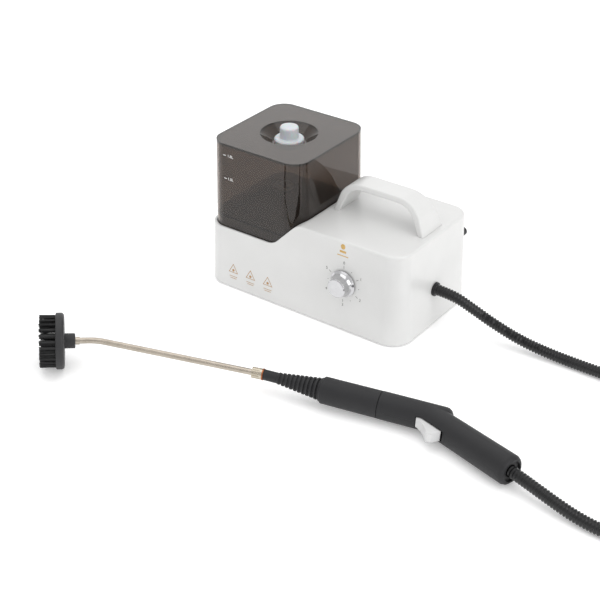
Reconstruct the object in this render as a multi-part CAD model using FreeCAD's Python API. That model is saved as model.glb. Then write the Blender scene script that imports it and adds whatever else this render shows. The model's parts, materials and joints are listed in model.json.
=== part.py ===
# Steam cleaner with a lift-off water tank, a corrugated steam hose and a brush gun.
# Millimetres, +Z up. The machine is laid out about the middle of its footprint, the gun
# in a flat frame of its own that is then laid on the floor in front of the machine.
import FreeCAD, Part
import math
import os

V = FreeCAD.Vector
X, Y, Z = V(1, 0, 0), V(0, 1, 0), V(0, 0, 1)

# ---- driving dimensions: machine ----
body_w = 310.0           # housing across the front, at its foot
body_d = 174.0           # housing front to back, at its foot
body_h = 127.0           # deck above the floor
rim_h = 87.5             # low rim round the tank
body_corner_r = 28.0
body_draft = 1.94        # degrees
top_edge_r = 3.0
wall = 2.2
foot_h = 2.0             # feet below the base plate
foot_r = 9.0
base_t = 3.0
step_start_x = -53.0     # where the rim starts to climb to the deck
step_angle = 46.0        # degrees, flank of the climb
step_r = 23.4
boss_r = 4.5
screw_r = 1.9
fit_gap = 0.3            # between parts that drop into each other

# ---- water tank ----
tank_lip = 2.2           # housing left standing outside the tank
tank_w = 146.5
tank_d = 157.0
tank_top = 205.5
tank_corner_r = 25.0
tank_draft = 1.05
tank_wall = 2.5
tank_gap = 0.4           # tank to bay
bay_depth = 7.5          # bay floor below the rim
tank_floor_rise = 23.5   # tank floor above the bay floor
lid_t = 3.0
recess_r = 38.0
recess_depth = 13.0
recess_floor_r = 22.0
fill_r = 15.0
stopper_disc_r = 19.5
stopper_knob_r = 12.2
stopper_rise = 9.5       # knob above the lid
dock_from_tank = (-36.0, 34.0)
valve_r = 10.0
poppet_lift = 4.0

# ---- carry handle ----
grip_left_x = 6.5        # outer face of the left leg on the deck
grip_right_inset = 9.5   # right leg inboard of the deck's edge
grip_rise = 44.5         # top of the strap above the deck
grip_t = 8.5
grip_lean_left = 16.0    # how far each leg leans in over the rise
grip_lean_right = 14.5
grip_bend_r = 34.0
grip_foot_y = (-19.5, 27.0)
grip_crest_y = (-17.0, 14.0)

# ---- dial ----
dial_x = 68.0
dial_z = 69.0
knob_r = 18.0
knob_grip_r = 13.6
knob_len = 16.0
knob_gap = 0.5
shaft_r = 3.0
bushing_r = 3.6

# ---- inside the machine ----
boiler_size = (95.0, 78.0, 44.0)
boiler_x0 = 26.0
boiler_y0 = -40.0
boiler_z0 = 24.0
heater_r = 4.0
pump_x0 = -118.0
pump_y = -44.0
pump_z = 34.0
tube_r = 4.0
tube_bore_r = 2.5

# ---- hose ----
hose_r = 7.2
outlet_y = -4.0
outlet_z = 52.0
outlet_r = 9.2
coil_r = 80.0            # middle of the turns
coil_x, coil_y = 540.0, -68.0
coil_layers = 3
gland_x = 121.0
gland_z = 71.0
gland_r = 7.5
gland_tip_r = 6.0
gland_len = 35.0
cord_bore_r = 3.6

# ---- gun ----
sleeve_r = 16.2
handle_wall = 2.6
sleeve_len = 72.0
barrel_ahead = 57.5      # seam to the corner of the gun
barrel_behind = 27.0
barrel_r = 16.6
grip_len = 129.0
grip_r0 = 16.9
grip_r1 = 17.9
grip_turn = 29.0         # degrees
boot_len = 74.0
boot_smooth = 19.0
boot_r0 = 6.5
boot_r1 = 14.0
boot_ribs = 10
boot_groove = 0.17       # depth of a groove, share of the rib's radius
washer_r = 7.2
washer_t = 1.5
nut_r = 6.8
nut_len = 12.6
lance_r = 3.8
lance_bore_r = 2.8
lance_len = 199.5
lance_turn = 5.3         # degrees, where the lance leaves the boot
tip_turn = 24.4          # degrees, near the brush
tip_bend_r = 45.0
tip_len = 30.0
ferrule_r = 4.9
ferrule_len = 5.0
hub_r = 9.3
hub_len = 13.0
hole_r = 4.5             # steam outlet in the middle of the disc
tube_in_hub = 4.0
disc_r = 34.5
disc_t = 10.0
bristle_len = 20.0
bristle_r = 1.9
trigger_half_t = 5.6
slot_front_u = -11.2     # ends of the trigger's slot along the handle
slot_back_u = 25.3
pin_u, pin_v = -6.0, -9.5
pin_r = 1.5
butt_recess_r = 12.4
butt_recess = 18.0
cuff_inset = 2.5         # face of the cuff inside the butt
gun_x, gun_y = 266.5, -200.2   # corner of the gun, seen from above
gun_turn = 14.4                # degrees, handle axis from +X


# ---- small makers ----
def box(x0, x1, y0, y1, z0, z1):
    return Part.makeBox(x1 - x0, y1 - y0, z1 - z0, V(x0, y0, z0))


def rod(start, end, r):
    return Part.makeCylinder(r, (end - start).Length, start, end - start)


def pipe(start, end, r, bore):
    along = end - start
    return rod(start, end, r).cut(rod(start - along, end + along, bore))


def cone(start, end, r0, r1):
    return Part.makeCone(r0, r1, (end - start).Length, start, end - start)


def fuse(first, *rest):
    return first.multiFuse(list(rest)).removeSplitter() if rest else first


def prism(points, direction):
    wire = Part.makePolygon([V(*p) for p in points] + [V(*points[0])])
    return Part.Face(wire).extrude(direction)


def spun(points, start, axis):
    """Solid of revolution about an axis: points are (distance along, radius)."""
    wire = Part.makePolygon([V(r, 0, s) for s, r in points + points[:1]])
    solid = Part.Face(wire).revolve(V(), Z, 360)
    solid.Placement = FreeCAD.Placement(start, FreeCAD.Rotation(Z, axis))
    return solid


def outline(x0, x1, y0, y1, r, z):
    lines, arcs = [], []
    corners = ((x1 - r, y0 + r, -90), (x1 - r, y1 - r, 0), (x0 + r, y1 - r, 90), (x0 + r, y0 + r, 180))
    ends = []
    for cx, cy, a in corners:
        at = [V(cx + r * math.cos(math.radians(a + d)), cy + r * math.sin(math.radians(a + d)), z)
              for d in (0, 45, 90)]
        arcs.append(Part.Arc(*at).toShape())
        ends.append(at)
    for here, there in zip(ends, ends[1:] + ends[:1]):
        lines.append(Part.LineSegment(here[2], there[0]).toShape())
    edges = [e for pair in zip(arcs, lines) for e in pair]
    return Part.Wire(edges)


def drafted(plan, r, at_z, z0, z1, draft, grow=0.0):
    """Rounded block whose sides lean in: the plan and its corner radius are true at at_z."""
    sections = []
    for z in (z0, z1):
        i = (z - at_z) * math.tan(math.radians(draft)) - grow
        x0, x1, y0, y1 = plan
        sections.append(outline(x0 + i, x1 - i, y0 + i, y1 - i, max(r - i, 1.0), z))
    return Part.makeLoft(sections, True, True)


def route_wire(points):
    """Straight runs joined by tangent arcs, each as large as its two runs allow."""
    points = [V(*p) for p in points]
    edges, radii, at = [], [], points[0]
    for before, here, after in zip(points, points[1:], points[2:]):
        a, b = (before - here), (after - here)
        turn = math.pi - a.getAngle(b)
        reach = 0.45 * min(a.Length, b.Length)
        radii.append(reach / math.tan(turn / 2))
        into, out = here + a.normalize() * reach, here + b.normalize() * reach
        bisector = (a + b).normalize()
        middle = here + bisector * (radii[-1] / math.cos(turn / 2) - radii[-1])
        edges.append(Part.LineSegment(at, into).toShape())
        edges.append(Part.Arc(into, middle, out).toShape())
        at = out
    edges.append(Part.LineSegment(at, points[-1]).toShape())
    return Part.Wire(edges), radii


def swept(points, r, bore=0.0):
    wire, radii = route_wire(points)
    start = V(*points[0])
    along = V(*points[1]) - start

    def sweep(radius):
        ring = Part.Wire([Part.makeCircle(radius, start, along)])
        return wire.makePipeShell([ring], True, False)

    solid = sweep(r)
    if bore:
        solid = solid.cut(sweep(bore))
    return solid, wire.Length, radii


def helix_spring(radius, wire_r, height, turns, base):
    steps = 8
    points = [base + V(radius * math.cos(turn), radius * math.sin(turn), height * k / (turns * steps))
              for k in range(turns * steps + 1) for turn in [2 * math.pi * k / steps]]
    return swept([tuple(p) for p in points], wire_r)[0]


# ---- places that several pieces share ----
half_w, half_d = body_w / 2, body_d / 2
base_top = foot_h + base_t
slope = math.tan(math.radians(body_draft))
body_plan = (-half_w, half_w, -half_d, half_d)
bay_z = rim_h - bay_depth
lip = rim_h * slope + tank_lip + tank_gap
tank_plan = (-half_w + lip, -half_w + lip + tank_w, -half_d + lip, -half_d + lip + tank_d)
tank_z = bay_z + tank_gap
tank_mid = ((tank_plan[0] + tank_plan[1]) / 2, (tank_plan[2] + tank_plan[3]) / 2)
tank_floor = bay_z + tank_floor_rise
dock_x, dock_y = tank_mid[0] + dock_from_tank[0], tank_mid[1] + dock_from_tank[1]
post_x, post_y = half_w - 24.0, half_d - 20.0
foot_x, foot_y = half_w - 34.0, half_d - 34.0
deck_right = half_w - body_h * slope


def face_y(z):
    """Y of the housing's front face at a height."""
    return -half_d + z * slope


def side_x(z):
    """X of the housing's right face at a height."""
    return half_w - z * slope


def tank_solid(z0, z1, grow=0.0):
    return drafted(tank_plan, tank_corner_r, rim_h, z0, z1, tank_draft, grow)


def tank_bay():
    """Room for the tank, straight up, so that its wider foot lifts out past the deck."""
    spread = (rim_h - tank_z) * math.tan(math.radians(tank_draft))
    return drafted(tank_plan, tank_corner_r, rim_h, bay_z, body_h * 2, 0, tank_gap + spread)


def above_step(shift=0.0):
    """Everything above the rim and its climb to the deck, pushed down and right by a shift."""
    a = math.radians(step_angle)
    rise = body_h - rim_h
    run = 2 * step_r * math.sin(a) + (rise - 2 * step_r * (1 - math.cos(a))) / math.tan(a)
    x0, z0 = step_start_x + shift, rim_h - shift
    x1, z1 = x0 + run, z0 + rise
    far, high = -body_w, body_h * 2

    def low(t):
        return V(x0 + step_r * math.sin(t), 0, z0 + step_r * (1 - math.cos(t)))

    def top(t):
        return V(x1 - step_r * math.sin(t), 0, z1 - step_r * (1 - math.cos(t)))

    edges = [Part.LineSegment(V(far, 0, z0), low(0)).toShape(),
             Part.Arc(low(0), low(a / 2), low(a)).toShape(),
             Part.LineSegment(low(a), top(a)).toShape(),
             Part.Arc(top(a), top(a / 2), top(0)).toShape(),
             Part.LineSegment(top(0), V(x1, 0, high)).toShape(),
             Part.LineSegment(V(x1, 0, high), V(far, 0, high)).toShape(),
             Part.LineSegment(V(far, 0, high), V(far, 0, z0)).toShape()]
    face = Part.Face(Part.Wire(edges))
    face.translate(V(0, -body_d, 0))
    return face.extrude(V(0, 2 * body_d, 0))


# ---- housing and what closes it ----
def make_housing():
    outer = drafted(body_plan, body_corner_r, 0, foot_h, body_h, body_draft)
    rim_edges = [e for e in outer.Edges if e.BoundBox.ZMin > body_h - 0.01]
    outer = outer.makeFillet(top_edge_r, rim_edges).cut(above_step())
    inside = drafted(body_plan, body_corner_r, 0, foot_h - 1, body_h - wall, body_draft, -wall)
    inside = inside.cut(above_step(wall)).cut(tank_solid(bay_z - wall, body_h * 2, tank_gap + wall))
    shell = outer.cut(inside).cut(tank_bay())
    posts = []
    for sx in (-1, 1):
        top = bay_z - wall / 2 if sx < 0 else body_h - wall / 2
        for sy in (-1, 1):
            at = V(sx * post_x, sy * post_y, base_top)
            posts.append(pipe(at, V(at.x, at.y, top), boss_r, screw_r))
    shell = fuse(shell, *posts)
    holes = [rod(V(dial_x, -half_d - 5, dial_z), V(dial_x, -half_d + 15, dial_z), bushing_r + 0.1),
             rod(V(half_w - 30, outlet_y, outlet_z), V(half_w + 5, outlet_y, outlet_z), outlet_r - 2),
             rod(V(gland_x, half_d - 20, gland_z), V(gland_x, half_d + 5, gland_z), gland_r - 1.5),
             rod(V(dock_x, dock_y, bay_z - 10), V(dock_x, dock_y, bay_z + 10), valve_r + 2)]
    for x in grip_screw_x():
        for y in grip_screw_y:
            holes.append(rod(V(x, y, body_h - 6), V(x, y, body_h + 1), screw_r + 0.1))
    return shell.cut(Part.makeCompound(holes))


def make_base():
    plate = drafted(body_plan, body_corner_r, 0, foot_h, base_top, body_draft, -wall - fit_gap)
    holes = []
    for sx in (-1, 1):
        for sy in (-1, 1):
            post = V(sx * post_x, sy * post_y, 0)
            foot = V(sx * foot_x, sy * foot_y, 0)
            holes += [rod(post, post + Z * 20, screw_r + 0.1), rod(post, post + Z * (foot_h + 1.6), 3.8),
                      rod(foot, foot + Z * 20, 2.5)]
    return plate.cut(Part.makeCompound(holes))


def four(maker, x, y):
    return Part.makeCompound([maker(V(sx * x, sy * y, 0)) for sx in (-1, 1) for sy in (-1, 1)])


def base_screw(at):
    head = rod(at + Z * (foot_h + 0.1), at + Z * (foot_h + 1.6), 3.5)
    return head.fuse(rod(at + Z * (foot_h + 1.6), at + Z * (base_top + 12), screw_r - 0.02))


def foot(at):
    return rod(at, at + Z * foot_h, foot_r).fuse(rod(at + Z * foot_h, at + Z * base_top, 2.45))


# ---- carry handle ----
grip_screw_y = (-8.0, 14.0)
grip_screw_r = 1.2
grip_screw_up = 4.5


def grip_screw_x():
    return (grip_left_x + grip_t * 0.7, deck_right - grip_right_inset - grip_t * 0.7)


def arch(inset):
    """Outline of the handle in X and Z, drawn inwards by an inset."""
    left, right, top = grip_left_x + inset, deck_right - grip_right_inset - inset, body_h + grip_rise - inset
    corners = [V(left, 0, body_h), V(left + grip_lean_left, 0, top),
               V(right - grip_lean_right, 0, top), V(right, 0, body_h)]
    bend = grip_bend_r - inset
    edges, at = [], corners[0]
    for before, here, after in zip(corners, corners[1:], corners[2:]):
        a, b = (before - here).normalize(), (after - here).normalize()
        half = (math.pi - a.getAngle(b)) / 2
        reach = bend * math.tan(half)
        into, out = here + a * reach, here + b * reach
        middle = here + (a + b).normalize() * (bend / math.cos(half) - bend)
        edges += [Part.LineSegment(at, into).toShape(), Part.Arc(into, middle, out).toShape()]
        at = out
    edges += [Part.LineSegment(at, corners[3]).toShape(), Part.LineSegment(corners[3], corners[0]).toShape()]
    face = Part.Face(Part.Wire(edges))
    face.translate(V(0, -body_d, 0))
    return face.extrude(V(0, 2 * body_d, 0))


def make_grip():
    strap = arch(0).cut(arch(grip_t))
    (f0, b0), (f1, b1) = grip_foot_y, grip_crest_y
    top = body_h + grip_rise
    side = [(0, f0, body_h), (0, b0, body_h), (0, b1, top), (0, f1, top)]
    strap = strap.common(prism([(-body_w, y, z) for _, y, z in side], V(2 * body_w, 0, 0)))
    soft = [e for e in strap.Edges if e.BoundBox.ZMax > body_h + 1 and e.BoundBox.XLength > 1
            or e.BoundBox.ZLength > 5]
    strap = strap.makeFillet(2.0, soft)
    holes = [rod(V(x, y, body_h - 1), V(x, y, body_h + grip_screw_up + 0.3), grip_screw_r)
             for x in grip_screw_x() for y in grip_screw_y]
    return strap.cut(Part.makeCompound(holes))


def make_grip_screws():
    screws = []
    for x in grip_screw_x():
        for y in grip_screw_y:
            at = V(x, y, body_h - wall)
            screws.append(rod(at, at + Z * (wall + grip_screw_up), grip_screw_r - 0.02).fuse(rod(at - Z * 1.8, at, 3.4)))
    return Part.makeCompound(screws)


# ---- tank ----
lid_z = tank_top - lid_t
stop_x, stop_y = tank_mid
valve_bottom = bay_z + 4.0
seat_z = valve_bottom + 5.0


def make_tank():
    outer = tank_solid(tank_z, lid_z)
    above = tank_solid(tank_floor, lid_z + 1, -tank_wall)
    below = tank_solid(tank_z - 1, tank_floor - tank_wall, -tank_wall)
    hole = rod(V(dock_x, dock_y, 0), V(dock_x, dock_y, tank_floor + 5), valve_r + 0.02)
    return outer.cut(above).cut(below).cut(hole)


def make_lid():
    plate = tank_solid(lid_z, tank_top)
    floor_z = tank_top - recess_depth
    at = V(stop_x, stop_y, 0)
    dish = cone(at + Z * (floor_z - 2), at + Z * lid_z, recess_floor_r + 2, recess_r - 1)
    hollow = cone(at + Z * floor_z, at + Z * (tank_top + 0.01), recess_floor_r, recess_r)
    return fuse(plate, dish).cut(hollow).cut(rod(at, at + Z * 400, fill_r))


def make_stopper():
    floor_z = tank_top - recess_depth + 0.1
    knob_top = tank_top + stopper_rise - floor_z
    profile = [(-9, 0), (-9, fill_r - 2), (-2.5, fill_r - 1), (0, fill_r - 0.4), (0, stopper_disc_r - 1),
               (1, stopper_disc_r), (5, stopper_disc_r), (6.5, stopper_disc_r - 1.5),
               (7, stopper_knob_r + 0.5), (9, stopper_knob_r), (knob_top - 2.5, stopper_knob_r),
               (knob_top - 0.7, stopper_knob_r - 0.9), (knob_top, stopper_knob_r - 3), (knob_top, 0)]
    return spun(profile, V(stop_x, stop_y, floor_z), Z)


def make_valve_cage():
    at = V(dock_x, dock_y, 0)
    cage = pipe(at + Z * valve_bottom, at + Z * (tank_floor + 6), valve_r, valve_r - 2)
    flange = pipe(at + Z * tank_floor, at + Z * (tank_floor + 2), valve_r + 4, valve_r - 1)
    seat = pipe(at + Z * valve_bottom, at + Z * seat_z, valve_r - 1, 3.2)
    bridge = box(dock_x - valve_r + 1, dock_x + valve_r - 1, dock_y - 2, dock_y + 2,
                 tank_floor + 4, tank_floor + 6)
    guide = rod(at, at + Z * 400, 2.3)
    return fuse(cage, flange, seat, bridge).cut(guide.common(bridge))


def make_poppet():
    z = seat_z + poppet_lift - dock_z()
    profile = [(0.1, 0), (0.1, 2.0), (z, 2.0), (z, valve_r - 3.2), (z + 2.5, valve_r - 3.2), (z + 3.5, 2.0),
               (tank_floor + 7 - dock_z(), 2.0), (tank_floor + 7 - dock_z(), 0)]
    return spun(profile, V(dock_x, dock_y, dock_z()), Z)


def dock_z():
    """Top of the pin in the dock, which holds the poppet open."""
    return valve_bottom + 1.0


def make_valve_spring():
    low = seat_z + poppet_lift + 4.0
    high = tank_floor + 3.2
    return helix_spring(4.2, 0.4, high - low, 3, V(dock_x, dock_y, low + 0.1))


def make_valve_seal():
    return Part.makeTorus(valve_r + 0.9, 0.85, V(dock_x, dock_y, bay_z + 7.15))


def make_dock():
    at = V(dock_x, dock_y, 0)
    low = bay_z - wall - 10
    cup = pipe(at + Z * low, at + Z * (bay_z + 6), valve_r + 1.8, valve_r + 0.3)
    floor = pipe(at + Z * (bay_z - 2), at + Z * bay_z, valve_r + 1.8, 5.0)
    bridge = box(dock_x - 6, dock_x + 6, dock_y - 1.2, dock_y + 1.2, bay_z - 2, bay_z)
    pin = rod(at + Z * (bay_z - 2), at + Z * dock_z(), 1.8)
    closing = rod(at + Z * low, at + Z * (low + 2), valve_r + 1.8)
    spout = pipe(at + Z * (low - 12), at + Z * (low + 3), tube_r, tube_bore_r)
    cup = fuse(cup, floor, bridge, pin, closing, spout)
    collar = pipe(at + Z * (bay_z - wall - 2), at + Z * (bay_z - wall), valve_r + 6, valve_r + 1)
    return fuse(cup, collar).cut(rod(at + Z * (low - 13), at + Z * (low + 4), tube_bore_r))


# ---- dial ----
knob_back_y = -half_d + (dial_z - knob_r) * slope - knob_gap


def make_knob():
    at = V(dial_x, knob_back_y, dial_z)
    profile = [(0, shaft_r + 0.02), (0, knob_r), (1.2, knob_r), (3.0, knob_r - 2.6), (5.5, knob_grip_r + 0.6),
               (7, knob_grip_r), (knob_len - 1.2, knob_grip_r - 0.7), (knob_len, knob_grip_r - 2.0),
               (knob_len, 0), (knob_len - 3, 0), (knob_len - 3, shaft_r + 0.02)]
    return spun(profile, at, -Y)


def make_shaft():
    at = V(dial_x, knob_back_y - knob_len + 3.1, dial_z)
    return rod(at, V(dial_x, face_y(dial_z) + wall + 10, dial_z), shaft_r)


def make_pot():
    y = face_y(dial_z) + wall + 1.0
    body = pipe(V(dial_x, y, dial_z), V(dial_x, y + 10, dial_z), 8.5, shaft_r + 0.05)
    cap = rod(V(dial_x, y + 10, dial_z), V(dial_x, y + 11.5, dial_z), 8.5)
    bush = pipe(V(dial_x, knob_back_y + 1.6, dial_z), V(dial_x, y, dial_z), bushing_r, shaft_r + 0.05)
    tabs = [box(dial_x + dx - 1, dial_x + dx + 1, y + 9, y + 10, dial_z - 13, dial_z - 5) for dx in (-5, 0, 5)]
    return fuse(body, cap, bush, *tabs)


# ---- inside ----
def boiler_end():
    return tuple(o + s for o, s in zip((boiler_x0, boiler_y0, boiler_z0), boiler_size))


def heater_path(r):
    x1, y1, _ = boiler_end()
    z = boiler_z0 + 12
    a, b = boiler_y0 + 16, y1 - 16
    bend = (b - a) / 2
    turn = x1 - 14 - bend
    out = boiler_x0 - 10
    legs = [rod(V(out, y, z), V(turn, y, z), r) for y in (a, b)]
    ring = Part.Face(Part.Wire([Part.makeCircle(r, V(turn, a, z), X)]))
    return fuse(legs[0], legs[1], ring.revolve(V(turn, (a + b) / 2, z), Z, 180))


def make_boiler():
    x1, y1, z1 = boiler_end()
    block = box(boiler_x0, x1, boiler_y0, y1, boiler_z0, z1)
    block = block.makeFillet(8, [e for e in block.Edges if e.BoundBox.ZLength > 20])
    room = box(boiler_x0 + 12, x1 - 12, boiler_y0 + 12, y1 - 12, boiler_z0 + 20, z1 - 6)
    inlet = pipe(V(boiler_x0 - 10, boiler_y0 + 30, z1 - 12), V(boiler_x0 + 13, boiler_y0 + 30, z1 - 12),
                 tube_bore_r, 1.5)
    outlet = pipe(V(x1 - 13, outlet_y, outlet_z), V(x1 + 3, outlet_y, outlet_z), 6, 3)
    mouths = [rod(V(boiler_x0 - 1, boiler_y0 + 30, z1 - 12), V(boiler_x0 + 13, boiler_y0 + 30, z1 - 12), 1.5),
              rod(V(x1 - 13, outlet_y, outlet_z), V(x1 + 1, outlet_y, outlet_z), 3)]
    return fuse(block.cut(room), inlet, outlet).cut(heater_path(heater_r)).cut(Part.makeCompound(mouths))


def make_standoffs():
    x1, y1, _ = boiler_end()
    return Part.makeCompound([rod(V(x, y, base_top), V(x, y, boiler_z0), 5)
                              for x in (boiler_x0 + 12, x1 - 12) for y in (boiler_y0 + 12, y1 - 12)])


def make_thermostat():
    x1, y1, z1 = boiler_end()
    at = V((boiler_x0 + x1) / 2, (boiler_y0 + y1) / 2, z1)
    can = rod(at, at + Z * 5, 9).fuse(rod(at + Z * 5, at + Z * 13, 7.5))
    blades = [box(at.x + s * 5 - 0.4, at.x + s * 5 + 0.4, at.y - 3, at.y + 3, z1 + 12, z1 + 20) for s in (-1, 1)]
    return fuse(can, *blades)


def make_fuse_link():
    x1, y1, z1 = boiler_end()
    return rod(V(boiler_x0 + 14, y1 - 18, z1 + 3), V(boiler_x0 + 40, y1 - 18, z1 + 3), 3)


def make_steam_pipe():
    x1 = boiler_end()[0]
    return pipe(V(x1 + 3, outlet_y, outlet_z), V(half_w - 24, outlet_y, outlet_z), 5, 3)


def make_pump():
    core = rod(V(pump_x0, pump_y, pump_z), V(pump_x0 + 98, pump_y, pump_z), 9)
    coil = box(pump_x0 + 26, pump_x0 + 70, pump_y - 17, pump_y + 17, pump_z - 18, pump_z + 20)
    tips = rod(V(pump_x0 - 4, pump_y, pump_z), V(pump_x0 + 102, pump_y, pump_z), tube_bore_r - 0.05)
    return fuse(core, coil, tips)


def make_pump_mounts():
    blocks = []
    for x in (pump_x0 + 10, pump_x0 + 78):
        block = box(x, x + 10, pump_y - 14, pump_y + 14, base_top, pump_z + 12)
        blocks.append(block.cut(rod(V(x - 1, pump_y, pump_z), V(x + 11, pump_y, pump_z), 9)))
    return Part.makeCompound(blocks)


def make_water_tube():
    low = bay_z - wall - 22
    points = [(dock_x, dock_y, low), (dock_x, dock_y, low - 12), (dock_x - 2, dock_y - 16, low - 22),
              (dock_x - 6, dock_y - 40, low - 23), (pump_x0 - 16, pump_y + 22, pump_z + 1),
              (pump_x0 - 18, pump_y + 3, pump_z), (pump_x0 - 8, pump_y, pump_z), (pump_x0, pump_y, pump_z)]
    return swept(points, tube_r, tube_bore_r)[0]


def make_feed_tube():
    x0, z1 = boiler_x0, boiler_end()[2]
    start = pump_x0 + 98
    y, z = boiler_y0 + 30, z1 - 12
    points = [(start, pump_y, pump_z), (start + 11, pump_y, pump_z), (start + 20, pump_y + 8, pump_z + 8),
              (x0 - 22, y - 10, z - 4), (x0 - 13, y, z), (x0, y, z)]
    return swept(points, tube_r, tube_bore_r)[0]


def make_board():
    y = -half_d + 26
    plate = box(boiler_x0 + 6, half_w - 40, y, y + 1.6, base_top + 4, body_h - 22)
    parts = [plate]
    for x, z, w, h, t in ((34, 30, 18, 15, -12), (62, 20, 16, 16, -9), (92, 74, 10, 24, -14), (34, 84, 22, 10, -8)):
        parts.append(box(x, x + w, y + t, y, z, z + h))
    parts.append(rod(V(96, y, 40), V(96, y - 15, 40), 7))
    return fuse(*parts)


def make_board_rails():
    y = -half_d + 26
    rails = []
    for x in (boiler_x0 + 10, half_w - 50):
        rail = box(x, x + 6, y - 3, y + 5, base_top, base_top + 12)
        rails.append(rail.cut(box(x - 1, x + 7, y, y + 1.6, base_top + 4, base_top + 30)))
    return Part.makeCompound(rails)


def make_outlet():
    at = V(0, outlet_y, outlet_z)
    face = side_x(outlet_z)
    neck = pipe(at + X * (half_w - 24), at + X * (face + 1), outlet_r - 2.1, hose_r - 1.2)
    flange = pipe(at + X * (face + 0.45), at + X * (face + 2.5), outlet_r, hose_r - 1.2)
    nut = pipe(at + X * (face - wall - 6), at + X * (face - wall - 0.8), outlet_r + 3, outlet_r - 2.2)
    return fuse(neck, flange, nut)


def make_gland():
    y = half_d - gland_z * slope
    at = V(gland_x, 0, gland_z)
    boot = cone(at + Y * (y + 2), at + Y * (y + gland_len), gland_r, gland_tip_r)
    flange = rod(at + Y * (y + 0.4), at + Y * (y + 2.4), gland_r + 1.5)
    neck = rod(at + Y * (y - 9), at + Y * (y + 1), gland_r - 1.6)
    clamp = rod(at + Y * (y - 9), at + Y * (y - wall - 0.5), gland_r + 1)
    return fuse(flange, boot, neck, clamp).cut(rod(at + Y * (y - 20), at + Y * (y + 60), cord_bore_r))


def make_terminals():
    base = box(gland_x - 16, gland_x + 12, half_d - 42, half_d - 30, gland_z - 22, gland_z - 8)
    screws = [rod(V(gland_x - 12 + i * 10, half_d - 36, gland_z - 8), V(gland_x - 12 + i * 10, half_d - 36,
              gland_z - 6.5), 2.6) for i in range(3)]
    column = box(gland_x - 12, gland_x + 8, half_d - 40, half_d - 32, base_top, gland_z - 22)
    return fuse(base, column, *screws)


# ---- gun, flat: u along the handle towards the butt, v across, w up ----
def gun_turned(angle):
    return math.cos(math.radians(angle)), math.sin(math.radians(angle))


grip_c, grip_s = gun_turned(-grip_turn)
seam_u = -barrel_ahead
sleeve_u = seam_u - sleeve_len
boot_u = sleeve_u - boot_len


def along_grip(s, v=0.0):
    """A point s along the grip from the corner and v to its left."""
    return V(s * grip_c - v * grip_s, s * grip_s + v * grip_c, 0)


grip_dir = V(grip_c, grip_s, 0)
lance_dir = -V(*gun_turned(lance_turn), 0)
tip_dir = -V(*gun_turned(lance_turn + tip_turn), 0)
nut_end = V(boot_u, 0, 0)
washer_end = nut_end + lance_dir * washer_t
lance_start = washer_end + lance_dir * nut_len
tip_reach = tip_bend_r * math.tan(math.radians(tip_turn / 2))
tip_corner = lance_start + lance_dir * lance_len
lance_end = tip_corner + tip_dir * tip_len
hub_start = lance_end - tip_dir * tube_in_hub
disc_start = hub_start + tip_dir * hub_len
bristle_start = disc_start + tip_dir * disc_t
bristle_end = bristle_start + tip_dir * bristle_len


def lance_path(r):
    into = tip_corner - lance_dir * tip_reach
    out = tip_corner + tip_dir * tip_reach
    bisector = ((lance_dir * -1) + tip_dir).normalize()
    half = math.radians(tip_turn / 2)
    middle = tip_corner + bisector * (tip_bend_r / math.cos(half) - tip_bend_r)
    start = nut_end - lance_dir * 40
    wire = Part.Wire([Part.LineSegment(start, into).toShape(), Part.Arc(into, middle, out).toShape(),
                      Part.LineSegment(out, lance_end).toShape()])
    ring = Part.Wire([Part.makeCircle(r, start, lance_dir)])
    return wire.makePipeShell([ring], True, False)


def make_lance():
    return lance_path(lance_r).cut(lance_path(lance_bore_r))


def make_nut():
    body = pipe(washer_end, lance_start, nut_r, lance_r + 0.02)
    grooves = []
    for i in range(12):
        a = math.radians(30 * i)
        side = lance_dir.cross(Z) * math.cos(a) + Z * math.sin(a)
        at = washer_end + lance_dir * 3 + side * nut_r
        grooves.append(rod(at, at + lance_dir * (nut_len - 4), 0.6))
    return body.cut(Part.makeCompound(grooves))


def make_washer():
    return pipe(nut_end, washer_end, washer_r, lance_r + 0.02)


def boot_profile():
    """Ribbed sleeve: (distance from the sleeve's front, radius)."""
    points = [(0, 0), (0, boot_r1), (2.0, boot_r1)]
    pitch = (boot_len - boot_smooth - 2.0) / boot_ribs
    for i in range(boot_ribs):
        s = 2.0 + i * pitch
        share = (s + pitch) / (boot_len - boot_smooth)
        r = boot_r1 + (boot_r0 + 0.8 - boot_r1) * share
        low = r * (1 - boot_groove)
        points += [(s + 0.1, low), (s + pitch * 0.45, low), (s + pitch * 0.55, r), (s + pitch * 0.95, r)]
    points += [(boot_len - boot_smooth + 0.6, boot_r0), (boot_len, boot_r0), (boot_len, 0)]
    return points


def gun_pipe_rod(r):
    """The straight stretch from the valve to the end of the lance."""
    end = nut_end - lance_dir * 40
    return rod(V(seam_u - 5.4, 0, 0), V(end.x + 0.5, end.y, 0), r)


def make_boot():
    solid = spun(boot_profile(), V(sleeve_u, 0, 0), -X)
    beyond = rod(nut_end, nut_end + lance_dir * 20, 30)
    return solid.cut(beyond).cut(lance_path(lance_r + 0.02)).cut(gun_pipe_rod(lance_r + 0.02))


def make_sleeve():
    points = [(0, lance_r + 4), (0, sleeve_r - 1.5), (1.5, sleeve_r), (sleeve_len - 1.0, sleeve_r + 0.2),
              (sleeve_len - 0.4, sleeve_r - 0.8), (sleeve_len - 0.4, sleeve_r - handle_wall),
              (4.0, sleeve_r - handle_wall), (4.0, lance_r + 4)]
    return spun(points, V(sleeve_u + 0.01, 0, 0), X)


def barrel_solid(r, cap):
    end = barrel_behind
    points = [(0, 0), (0, r), (barrel_ahead + end - cap, r)]
    for i in range(1, 5):
        a = math.radians(90 * i / 4)
        points.append((barrel_ahead + end - cap + cap * math.sin(a), r - cap + cap * math.cos(a)))
    points.append((barrel_ahead + end, 0))
    return spun(points, V(seam_u, 0, 0), X)


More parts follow.
